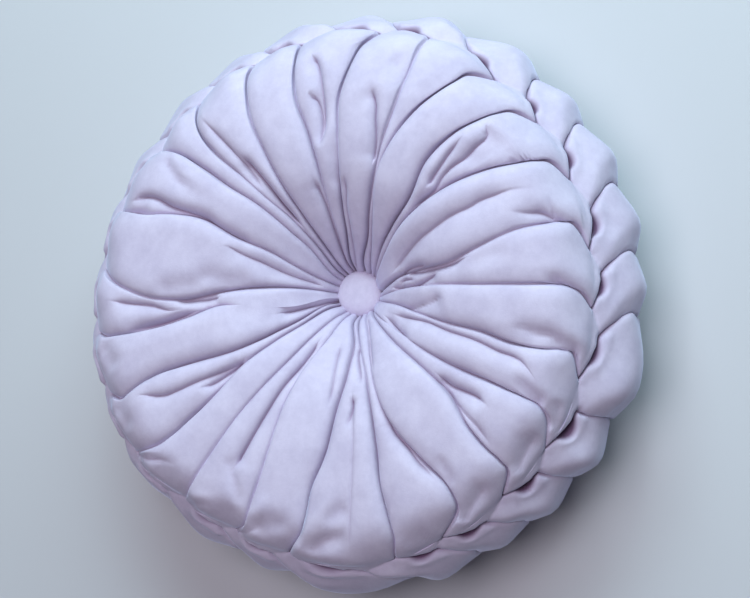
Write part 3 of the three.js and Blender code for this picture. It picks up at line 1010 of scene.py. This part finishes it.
@dataclass(frozen=True)
class Cover:
    """The velvet cover with its filling, as one closed skin.

    A pleat swells out by full_puff where it is wide, and by less where it is narrow against puff_width. In
    the tuft, which starts over tuft_zone, it swells less by tuft_flatter, and its roll is tighter by
    tuft_tighter. Where a fold dies out, the pleats beside it meet at one height over meeting_width. The
    plait presses the pleats flat over pressed_zone.
    """

    layout: Layout = Layout()
    face_pleats: FacePleats = FacePleats()
    plait_legs: PlaitLegs = PlaitLegs()
    band_arches: BandArches = BandArches()
    full_puff: float = 9.3
    puff_width: float = 18.0
    tuft_zone: tuple[float, float] = (35.0, 85.0)
    tuft_flatter: float = 0.35
    tuft_tighter: float = 0.65
    meeting_width: float = 12.0
    meeting_fade: int = 4
    pressed_zone: tuple[float, float] = (-85.0, -30.0)
    roll: float = 12.0
    least_roll: float = 1.0
    # crevices of the face: their depth near the tuft, how much less it is at the rim, and where it lessens
    groove: float = 2.8
    groove_less: float = 1.0
    groove_zone: tuple[float, float] = (100.0, 150.0)
    # the angles between which the lower left of the cushion starts and ends
    low_start: tuple[float, float] = (170.0, 205.0)
    low_end: tuple[float, float] = (300.0, 330.0)
    # lobes of the plait: how much more they swell, where that sets in, and what is lost over the band
    lobe_more: float = 1.3
    lobe_zone: tuple[float, float] = (3.0, 17.0)
    lobe_less: float = 0.7
    lobe_less_zone: tuple[float, float] = (19.0, 37.0)
    # evening out of the band's swelling: passes, and where it sets in off the folds and the plait line
    easing: int = 8
    easing_gap: tuple[float, float] = (2.5, 9.0)
    easing_zone: tuple[float, float] = (5.0, 11.0)
    # the band's lean to one side, and how much more the crown stands towards lean_turn
    band_shift: tuple[float, float] = (2.0, 2.5)
    band_shift_zone: tuple[float, float] = (2.0, 36.0)
    crown_lean: float = 3.6
    crown_start: tuple[float, float] = (25.0, 110.0)
    crown_end: tuple[float, float] = (135.0, 176.0)
    lean_turn: float = 25.0
    # the crease across a pleat's neck: its depth, and the widths of its narrow and its soft part
    neck_depth: float = 2.2
    neck_narrow: float = 1.1
    neck_soft: float = 4.0
    neck_start: float = 0.2
    neck_less: float = 0.3
    # creases: how much deeper the crevice is, how far past its ends one goes, the reach of its roll against
    # its width, and how far the cloth that it lowers goes
    crease_crevice: float = 1.5
    crevice_width: float = 0.8
    crease_end: float = 4.0
    crease_roll: float = 1.5
    crease_reach: float = 10.0
    # mesh: the share of the band past which every second column is left out, and how near the ends of the
    # section, in metres, the rings to fill lie
    coarse_from: float = 0.45
    end_ring: float = 2e-3

    def shape(self) -> np.ndarray:
        """Works out all points of the cover.

        Returns:
            X, Y, Z and depth in the crevices, one row a place and one column a point round the cushion.
        """
        lines = self.layout.lines()
        section, outward = self.layout.profile.at(lines.places)
        theta = self.layout.column_angles(lines)
        numbers = tuple(range(len(FOLDS)))
        before = self.layout.side(lines, theta, lines.before, numbers[-1:] + numbers[:-1])
        after = self.layout.side(lines, theta, lines.after, numbers)
        height = self.height(lines, before, after)
        relief = self.relief(lines, theta, before, after)
        lobe = height * relief.rise * self.lobe_share(relief.inward)
        lobe = self.eased(lobe, np.minimum(before.gap, after.gap), relief.inward)
        puff = lobe - relief.sink - self.neck_depth * self.necks(lines, theta)

        theta = theta + np.degrees(relief.shift[..., 0] / np.maximum(lines.radii, 1)[None, :, None])
        slide = relief.shift[..., 1]
        along = np.stack([outward[:, 1], -outward[:, 0]], axis=1)
        swelling = (puff[..., None] * outward[None, :, None] + slide[..., None] * along[None, :, None])
        r, z = np.moveaxis(section[None, :, None] + swelling, -1, 0)
        self.press_creases(lines, theta, r, z, relief.sink)
        x, y, z = self.placed(lines, theta, r, z)
        points = np.stack([x, y, np.maximum(z, 0.0), relief.sink], axis=-1)
        return points.transpose(1, 0, 2, 3).reshape(len(lines.places), -1, 4)

    def tuft_share(self, lines: Lines) -> np.ndarray:
        """How far each row lies in a tuft, from 0 to 1."""
        return (1 - ramp(*self.tuft_zone, lines.radii))[None, :, None]

    def height(self, lines: Lines, before: Side, after: Side) -> np.ndarray:
        """Works out how far the pleats swell out in full.

        Args:
            lines: the rows and folds.
            before: how the points lie to the fold before their pleat.
            after: how they lie to the one after it.

        Returns:
            The full swelling at every point.
        """
        height = self.full_puff * (1 - np.exp(-(before.gap + after.gap) / self.puff_width))
        first, last = height[:, :, :1], height[:, :, -1:]
        meeting = (first + np.roll(last, 1, axis=0)) / 2
        rise_before = (meeting - first) * (1 - before.depth) ** self.meeting_fade
        rise_after = (np.roll(meeting, -1, axis=0) - last) * (1 - after.depth) ** self.meeting_fade
        height = height + rise_before * bell(0, self.meeting_width, before.gap)
        height = height + rise_after * bell(0, self.meeting_width, after.gap)
        return height * (1 - self.tuft_flatter * self.tuft_share(lines))

    def relief(self, lines: Lines, theta: np.ndarray, before: Side, after: Side) -> Relief:
        """Shapes the cloth beside every run of every fold.

        Args:
            lines: the rows and folds.
            theta: angles of the points.
            before: how the points lie to the fold before their pleat.
            after: how they lie to the one after it.

        Returns:
            How the cloth stands.
        """
        inward = lines.inward[None, :, None]
        roll = self.roll * (1 - self.tuft_tighter * self.tuft_share(lines))
        relief = Relief(
            rise=np.ones(theta.shape),
            sink=np.zeros(theta.shape),
            shift=np.zeros(theta.shape + (2,)),
            roll=np.clip((before.gap + after.gap) / 2, self.least_roll, roll),
            pressed=ramp(*self.pressed_zone, inward),
            groove=self.groove - self.groove_less * ramp(*self.groove_zone, lines.radii)[None, :, None],
            low=ramp(*self.low_start, theta) * (1 - ramp(*self.low_end, theta)),
            inward=inward,
        )
        cloth = {Run.FACE: self.face_pleats, Run.LEG: self.plait_legs, Run.ARCH: self.band_arches}
        for run, near in before.runs:
            cloth[run].clockwise(before, near, relief)
        for run, near in after.runs:
            cloth[run].counter(after, near, relief)
        return relief

    def lobe_share(self, inward: np.ndarray) -> np.ndarray:
        """How much more the lobes of the plait swell than the pleats of the face."""
        more = self.lobe_more * ramp(*self.lobe_zone, inward)
        return 1 + more - self.lobe_less * ramp(*self.lobe_less_zone, inward)

    def eased(self, lobe: np.ndarray, gap: np.ndarray, inward: np.ndarray) -> np.ndarray:
        """Evens out the swelling of the band between its folds, as taut cloth does.

        Args:
            lobe: how far each point swells out.
            gap: its distance from the nearest fold.
            inward: how far past the plait line it lies.

        Returns:
            The evened swelling.
        """
        share = ramp(*self.easing_gap, gap) * ramp(*self.easing_zone, inward)
        for _ in range(self.easing):
            mean = lobe.copy()
            beside = lobe[:, 2:, 1:-1] + lobe[:, :-2, 1:-1] + lobe[:, 1:-1, 2:] + lobe[:, 1:-1, :-2]
            mean[:, 1:-1, 1:-1] = beside / 4
            lobe = lobe + share * (mean - lobe)
        return lobe

    def necks(self, lines: Lines, theta: np.ndarray) -> np.ndarray:
        """Works out the soft crease across each pleat where it is drawn in between two legs of the plait.

        Args:
            lines: the rows and folds.
            theta: angles of the points.

        Returns:
            How deep the crease is at each point, from 0 to 1.
        """
        corner = self.layout.corner
        row = np.argmin(np.abs(lines.places))
        turn = np.argmin(np.abs(lines.places - corner))
        scale = np.radians(1) * lines.radii[None, :, None]
        inward = np.broadcast_to(lines.inward[None, :, None], theta.shape)
        start = np.stack([(lines.before[:, row, None, None] - theta) * scale, -inward], axis=-1)
        stop = np.stack([(lines.after[:, turn, None, None] - theta) * scale, corner - inward], axis=-1)
        step = stop - start
        t = np.clip(-(start * step).sum(-1) / (step * step).sum(-1), 0, 1)
        d = np.linalg.norm(start + t[..., None] * step, axis=-1)
        section = (np.exp(-d / self.neck_narrow) + bell(0, self.neck_soft, d)) / 2
        return section * ramp(0, self.neck_start, t) * (1 - self.neck_less * t)

    def press_creases(self, lines: Lines, theta: np.ndarray, r: np.ndarray, z: np.ndarray,
                      sink: np.ndarray) -> None:
        """Presses the secondary creases into the front face.

        Args:
            lines: the rows and folds.
            theta: angles of the points.
            r: their radii.
            z: their heights, which are changed.
            sink: how far they are drawn into the crevices, which is changed too.
        """
        for crease in CREASES:
            line = self.layout.settled(crease, lines)
            pleat, turn = crease.pleat(*line, lines)
            near = r[pleat, lines.front], theta[pleat, lines.front] - turn
            drop, crevice = self.creasing(crease, line, *near)
            z[pleat, lines.front] -= drop
            # the narrow crevice is also added to the depth by which the velvet paints shade
            sink[pleat, lines.front] += crevice

    def creasing(self, crease: Crease, line: tuple, r: np.ndarray, theta: np.ndarray) -> tuple:
        """How far a crease presses down the points of its pleat.

        Args:
            crease: the crease.
            line: radius and angle of its close points.
            r: radius of each point.
            theta: angle of each point.

        Returns:
            The whole drop at each point, and the part of it that is the narrow crevice.
        """
        a, heading = np.radians(theta), np.radians(line[1])
        px, py = line[0] * np.sin(heading), line[0] * np.cos(heading)
        dx, dy = (r * np.sin(a))[..., None] - px, (r * np.cos(a))[..., None] - py
        i = (dx**2 + dy**2).argmin(axis=-1)
        dx, dy = (np.take_along_axis(v, i[..., None], axis=-1)[..., 0] for v in (dx, dy))
        tx, ty = np.gradient(px), np.gradient(py)
        length = np.hypot(tx, ty)
        tx, ty = (tx / length)[i], (ty / length)[i]
        beyond = np.where((i == 0) | (i == len(px) - 1), np.abs(dx * tx + dy * ty), 0)
        across = dx * ty - dy * tx
        d = np.abs(across)
        clockwise = np.sign(ty * np.cos(heading[i]) + tx * np.sin(heading[i]))
        across = across * clockwise * np.sign(crease.step)
        crevice = self.crease_crevice * crease.depth * crease.sharp * np.exp(-d / self.crevice_width)
        trough = crease.depth * (1 - crease.sharp) * bell(0, crease.width, d)
        upper = np.clip(1 + across / (self.crease_roll * crease.width), 0, 1)
        lower = np.where(across > 0, np.exp(-across / self.crease_reach), 1 - np.sqrt(1 - upper**2))
        amount = crease.strength()[i] * bell(0, self.crease_end, beyond)
        return amount * (crevice + trough + abs(crease.step) * lower), amount * crevice

    def placed(self, lines: Lines, theta: np.ndarray, r: np.ndarray, z: np.ndarray) -> tuple:
        """Pulls the tufts, the crown and the band to their sides.

        Args:
            lines: the rows and folds.
            theta: angles of the points.
            r: their radii.
            z: their heights.

        Returns:
            Their X, Y and Z.
        """
        inward, radii = lines.inward[None, :, None], lines.radii[None, :, None]
        crown = ramp(*self.crown_start, radii) * (1 - ramp(*self.crown_end, radii))
        crown = crown * lines.front[None, :, None]
        z = z + self.crown_lean * crown * np.cos(np.radians(theta - self.lean_turn))
        r = r + self.layout.unevenness(theta) * self.layout.uneven_share(inward)
        tuft = self.layout.tuft_share(radii)
        band = ramp(*self.band_shift_zone, inward)
        a = np.radians(theta)
        x = r * np.sin(a) + self.layout.tuft_shift[0] * tuft + self.band_shift[0] * band
        y = r * np.cos(a) + self.layout.tuft_shift[1] * tuft + self.band_shift[1] * band
        return x, y, z

    def build(self) -> bpy.types.Object:
        """Makes the cover's mesh from a grid whose columns are wrapped round the cushion.

        Returns:
            The cover, which isn't dressed yet.
        """
        points = self.shape()
        rows, round_count = points.shape[:2]
        mesh = bmesh.new()
        bmesh.ops.create_grid(mesh, x_segments=round_count, y_segments=rows - 1, size=0.5)
        wrapped = np.concatenate([points, points[:, :1]], axis=1)
        # depth in the crevices, by which the velvet paints shade into them
        depth = mesh.verts.layers.float.new("depth")
        _, band, _ = self.layout.profile.reach()
        coarse = np.searchsorted(self.layout.rows(), band * self.coarse_from)
        odd = set()
        for vertex in mesh.verts:
            column = round((vertex.co.x + 0.5) * round_count)
            row = round((vertex.co.y + 0.5) * (rows - 1))
            vertex.co = Vector(wrapped[row, column, :3] * MM)
            vertex[depth] = wrapped[row, column, 3]
            if row >= coarse and column % 2:
                odd.add(vertex)
        bmesh.ops.remove_doubles(mesh, verts=mesh.verts, dist=WELD)
        spare = [e for e in mesh.edges if e.verts[0] in odd and e.verts[1] in odd]
        bmesh.ops.dissolve_edges(mesh, edges=spare, use_verts=True)
        for end in (0, rows - 1):
            floor = points[end, :, 2].mean() * MM
            ring = [e for e in mesh.edges if e.is_boundary and abs(e.verts[0].co.z - floor) < self.end_ring]
            bmesh.ops.holes_fill(mesh, edges=ring, sides=0)
        bmesh.ops.recalc_face_normals(mesh, faces=mesh.faces)
        return finished("cover", mesh)

    @staticmethod
    def dress(cover: bpy.types.Object, velvet: bpy.types.Material) -> None:
        """Gives the cover its velvet."""
        cover.data.materials.append(velvet)


def finished(name: str, mesh: bmesh.types.BMesh) -> bpy.types.Object:
    """Turns a bmesh into a smooth object in the scene.

    Args:
        name: the piece's name.
        mesh: its shape, in metres, which is freed.

    Returns:
        The new object.
    """
    data = bpy.data.meshes.new(name)
    mesh.to_mesh(data)
    mesh.free()
    data.polygons.foreach_set("use_smooth", [True] * len(data.polygons))
    piece = bpy.data.objects.new(name, data)
    bpy.context.scene.collection.objects.link(piece)
    return piece


class Face(Enum):
    """The two faces of the cushion, with the way each looks along Z."""

    FRONT = 1
    BACK = -1


@dataclass(frozen=True)
class Button:
    """A mould covered in velvet, on the floor of a tuft.

    foot is the height of its underside, on the tuft's floor. dome holds its section from the middle of the
    underside to the top, as shares of radius and height, and points is how many points it is drawn with.
    """

    face: Face
    foot: float
    centre: tuple[float, float] = (3.0, 5.0)
    radius: float = 16.1
    height: float = 9.8
    segments: int = 96
    points: int = 40
    dome: tuple[tuple[float, float], ...] = (
        (0, 0), (0.74, 0), (0.9, 0.05), (0.98, 0.18), (1, 0.34), (0.97, 0.5), (0.89, 0.65), (0.74, 0.8),
        (0.52, 0.92), (0.28, 0.98), (0, 1),
    )

    def build(self) -> bpy.types.Object:
        """Spins the button's section round its axis.

        Returns:
            The button, which isn't dressed yet.
        """
        way = self.face.value
        mesh = bmesh.new()
        at = np.linspace(0, len(self.dome) - 1, self.points)
        curve = smooth_through(np.arange(len(self.dome)), np.array(self.dome, float), at)
        line = []
        for share, rise in curve:
            place = Vector((share * self.radius, 0, self.foot + way * rise * self.height))
            line.append(mesh.verts.new(place * MM))
        edges = [mesh.edges.new(pair) for pair in zip(line[:-1], line[1:])]
        bmesh.ops.spin(mesh, geom=line + edges, cent=(0, 0, 0), axis=(0, 0, 1), angle=2 * math.pi,
                       steps=self.segments, use_merge=True, use_normal_flip=False, use_duplicate=False)
        bmesh.ops.remove_doubles(mesh, verts=mesh.verts, dist=WELD)
        bmesh.ops.translate(mesh, verts=mesh.verts, vec=Vector((*self.centre, 0)) * MM)
        bmesh.ops.recalc_face_normals(mesh, faces=mesh.faces)
        return finished(f"{self.face.name.lower()}_button_cover", mesh)

    @staticmethod
    def dress(button: bpy.types.Object, velvet: bpy.types.Material) -> None:
        """Gives the button its velvet."""
        button.data.materials.append(velvet)


# Height of the underside of each button, on the floor of its tuft.
FEET = {Face.FRONT: 66.0, Face.BACK: 34.0}

# A Mix node's colour sockets share their names with its others, so they are taken by number.
MIX_A, MIX_B, MIX_RESULT = 6, 7, 2

# The sRGB curve: where its straight start ends, how steep that is, and the lift and power of the rest.
START_END, START_SLOPE, LIFT, POWER = 0.04045, 12.92, 0.055, 2.4


def linear(hex_colour: str) -> tuple[float, ...]:
    """Turns an sRGB hex colour into linear RGBA.

    Args:
        hex_colour: the colour, as # and six hex digits.

    Returns:
        Red, green, blue and a full alpha.
    """
    parts = [c / 255 for c in bytes.fromhex(hex_colour[1:])]
    light = [c / START_SLOPE if c <= START_END else ((c + LIFT) / (1 + LIFT)) ** POWER for c in parts]
    return (*light, 1.0)


def add(tree: bpy.types.NodeTree, kind: str, settings: dict,
        **links: bpy.types.NodeSocket) -> bpy.types.Node:
    """Adds a node with its settings and links.

    Args:
        tree: the node tree.
        kind: the node's type.
        settings: attributes and socket values by name.
        links: output sockets by the name of the input that they feed.

    Returns:
        The new node.
    """
    node = tree.nodes.new(kind)
    for name, value in settings.items():
        if name in node.inputs:
            node.inputs[name].default_value = value
        else:
            setattr(node, name, value)
    for name, output in links.items():
        tree.links.new(output, node.inputs[name.replace("_", " ")])
    return node


@dataclass(frozen=True)
class Velvet:
    """Short-pile polyester velvet, which is a soft matt cloth.

    Its pile scatters the light, so it has almost no gloss, and it lights up with a cool sheen where it is
    seen along the surface. Where the pile has been stroked one way or the other its tone changes softly,
    over about stroke_mm. In a crevice its colour is painted darker and more purple as painted shade, in full
    from crevice_mm down. The pile itself is finer than pile_mm, and is drawn that coarse so that it shows.
    """

    name: str = "velvet"
    colour: str = "#d1c8dd"
    brushed_colour: str = "#c3b9d0"
    # painted shade: the darker purple that the crevices are painted towards
    crevice_shade_colour: str = "#836684"
    sheen_tint: str = "#dfe6ff"
    roughness: float = 0.85
    specular: float = 0.2
    sheen: float = 0.75
    sheen_roughness: float = 0.35
    crevice_mm: float = 3.5
    stroke_mm: float = 22.0
    stroke_detail: float = 6.0
    stroke_roughness: float = 0.75
    stroke_range: tuple[float, float] = (0.35, 0.65)
    pile_mm: float = 0.9
    pile_detail: float = 2.0
    pile_strength: float = 0.25
    pile_height: float = 0.0003

    def make(self) -> bpy.types.Material:
        """Builds the material.

        Returns:
            The new material.
        """
        material = bpy.data.materials.new(self.name)
        material.use_nodes = True
        tree = material.node_tree
        shader = tree.nodes["Principled BSDF"]
        shader.inputs["Roughness"].default_value = self.roughness
        shader.inputs["Specular IOR Level"].default_value = self.specular
        shader.inputs["Sheen Weight"].default_value = self.sheen
        shader.inputs["Sheen Roughness"].default_value = self.sheen_roughness
        shader.inputs["Sheen Tint"].default_value = linear(self.sheen_tint)
        # the tone: stroked pile, and over it painted shade, a darker purple, in the crevices
        place = add(tree, "ShaderNodeTexCoord", {}).outputs["Object"]
        strokes = {"Scale": 1 / (self.stroke_mm * MM), "Detail": self.stroke_detail}
        strokes["Roughness"] = self.stroke_roughness
        stroke = add(tree, "ShaderNodeTexNoise", strokes, Vector=place)
        limits = {"From Min": self.stroke_range[0], "From Max": self.stroke_range[1]}
        spread = add(tree, "ShaderNodeMapRange", limits, Value=stroke.outputs["Fac"])
        brushed = add(tree, "ShaderNodeMix", {"data_type": "RGBA"}, Factor=spread.outputs["Result"])
        brushed.inputs[MIX_A].default_value = linear(self.colour)
        brushed.inputs[MIX_B].default_value = linear(self.brushed_colour)
        # painted shade: the deeper a point lies in a crevice, the more of the darker purple it is painted
        depth = add(tree, "ShaderNodeAttribute", {"attribute_name": "depth"})
        deep = add(tree, "ShaderNodeMapRange", {"From Max": self.crevice_mm}, Value=depth.outputs["Fac"])
        painted_crevice_shade = add(tree, "ShaderNodeMix", {"data_type": "RGBA"}, Factor=deep.outputs["Result"])
        painted_crevice_shade.inputs[MIX_B].default_value = linear(self.crevice_shade_colour)
        tree.links.new(brushed.outputs[MIX_RESULT], painted_crevice_shade.inputs[MIX_A])
        tree.links.new(painted_crevice_shade.outputs[MIX_RESULT], shader.inputs["Base Color"])
        # the pile: a fine grain that takes the last gloss off the surface
        grain = {"Scale": 1 / (self.pile_mm * MM), "Detail": self.pile_detail}
        pile = add(tree, "ShaderNodeTexNoise", grain, Vector=place)
        relief = {"Strength": self.pile_strength, "Distance": self.pile_height}
        bump = add(tree, "ShaderNodeBump", relief, Height=pile.outputs["Fac"])
        tree.links.new(bump.outputs["Normal"], shader.inputs["Normal"])
        return material


@dataclass(frozen=True)
class FloorPaint:
    """Plain matt paint, pale and without a pattern, so that the floor only shows the cushion's shadow."""

    name: str = "floor_paint"
    colour: str = "#c8c8cc"
    roughness: float = 0.9

    def make(self) -> bpy.types.Material:
        """Builds the material.

        Returns:
            The new material.
        """
        material = bpy.data.materials.new(self.name)
        material.use_nodes = True
        shader = material.node_tree.nodes["Principled BSDF"]
        shader.inputs["Base Color"].default_value = linear(self.colour)
        shader.inputs["Roughness"].default_value = self.roughness
        return material


@dataclass(frozen=True)
class SoftLight:
    """A square soft light that looks at the cushion.

    It is placed by its tilt off the Z axis and its turn from +Y. power is in watts, and distance, size and
    aim are in metres.
    """

    name: str
    tilt: float
    turn: float
    power: float
    colour: tuple[float, float, float]
    distance: float = 1.8
    size: float = 0.9
    aim: tuple[float, float, float] = (0.0, 0.0, 0.05)

    def build(self) -> None:
        """Adds the light."""
        data = bpy.data.lights.new(self.name, "AREA")
        data.size = self.size
        data.energy = self.power
        data.color = self.colour
        tilt, turn = math.radians(self.tilt), math.radians(self.turn)
        way = Vector((math.sin(tilt) * math.sin(turn), math.sin(tilt) * math.cos(turn), math.cos(tilt)))
        lamp = bpy.data.objects.new(self.name, data)
        place = Matrix.Translation(Vector(self.aim) + way * self.distance)
        lamp.matrix_world = place @ (-way).to_track_quat("-Z", "Y").to_matrix().to_4x4()
        bpy.context.scene.collection.objects.link(lamp)


LIGHTS = (
    SoftLight("room", 0.0, 0.0, 15.8, (1.05, 1.0, 1.12)),
    SoftLight("high_window", 50.0, 0.0, 19.4, (0.73, 1.0, 1.08)),
    SoftLight("side_window", 50.0, 30.0, 10.0, (0.73, 1.0, 1.08)),
    SoftLight("low_window", 70.0, 30.0, 6.0, (0.73, 1.0, 1.08)),
)


@dataclass(frozen=True)
class Studio:
    """Plain floor, soft daylight from above, and the photograph's camera.

    The camera looks at aim from distance away, turned to the right of the Z axis and tilted above it, with
    its frame off_px off the middle. The floor reaches floor_size metres each way, floor_gap below the
    cushion.
    """

    turn: float = 19.3
    tilt: float = -8.0
    distance: float = 1089.0
    focal_px: float = 1600.0
    frame_px: float = 750.0
    aim: tuple[float, float, float] = (0.0, 0.0, 103.0)
    off_px: tuple[float, float] = (34.8, -4.1)
    sensor: float = 36.0
    floor_size: float = 4.0
    floor_gap: float = 0.3
    sky_colour: str = "#dfe8f5"
    sky_strength: float = 0.02

    def camera(self) -> None:
        """Places the camera."""
        data = bpy.data.cameras.new("camera")
        data.sensor_width = self.sensor
        data.sensor_fit = "HORIZONTAL"
        data.lens = self.focal_px / self.frame_px * self.sensor
        data.shift_x = self.off_px[0] / self.frame_px
        data.shift_y = self.off_px[1] / self.frame_px
        camera = bpy.data.objects.new("camera", data)
        lean = math.tan(math.radians(self.turn)), math.tan(math.radians(self.tilt))
        back = Vector((*lean, 1)).normalized()
        right = (-back).cross(Vector((0, 1, 0))).normalized()
        up = back.cross(right)
        place = (Vector(self.aim) + back * self.distance) * MM
        axes = Matrix((right, up, back)).transposed().to_4x4()
        camera.matrix_world = Matrix.Translation(place) @ axes
        bpy.context.scene.collection.objects.link(camera)
        bpy.context.scene.camera = camera

    def floor(self) -> None:
        """Lays a plain pale floor under the cushion."""
        mesh = bmesh.new()
        bmesh.ops.create_grid(mesh, x_segments=1, y_segments=1, size=self.floor_size)
        bmesh.ops.translate(mesh, verts=mesh.verts, vec=Vector((0, 0, -self.floor_gap * MM)))
        floor = finished("floor", mesh)
        floor.data.materials.append(FloorPaint().make())

    def sky(self) -> None:
        """Fills the surroundings with a trace of soft light."""
        world = bpy.data.worlds.new("sky")
        world.use_nodes = True
        shade = world.node_tree.nodes["Background"]
        shade.inputs["Color"].default_value = linear(self.sky_colour)
        shade.inputs["Strength"].default_value = self.sky_strength
        bpy.context.scene.world = world

    def build(self) -> None:
        """Sets up everything that isn't the object."""
        self.camera()
        self.floor()
        self.sky()
        for light in LIGHTS:
            light.build()
        bpy.context.scene.view_settings.view_transform = "Standard"


def main() -> None:
    """Builds the cushion and its surroundings."""
    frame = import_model()
    velvet = Velvet().make()
    # painted light: the button's velvet is painted lighter than the cover's, so that the button looks more
    # brightly lit
    button_velvet = Velvet("button_velvet", "#ddd5e8", brushed_colour="#cbc2d8").make()
    cover = Cover()
    piece = cover.build()
    cover.dress(piece, velvet)
    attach(piece, "root")
    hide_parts("cushion")
    log.info("%s: %d faces", piece.name, len(piece.data.polygons))
    for face, foot in FEET.items():
        button = Button(face, foot)
        piece = button.build()
        button.dress(piece, button_velvet)
        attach(piece, "root")
        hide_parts(f"{face.name.lower()}_button")
        log.info("%s: %d faces", piece.name, len(piece.data.polygons))
    Studio().build()
    log.info("packed nodes: %s", ", ".join(sorted(frame["nodes"])))


if __name__ == "__main__":
    logging.basicConfig(level=logging.INFO)
    main()
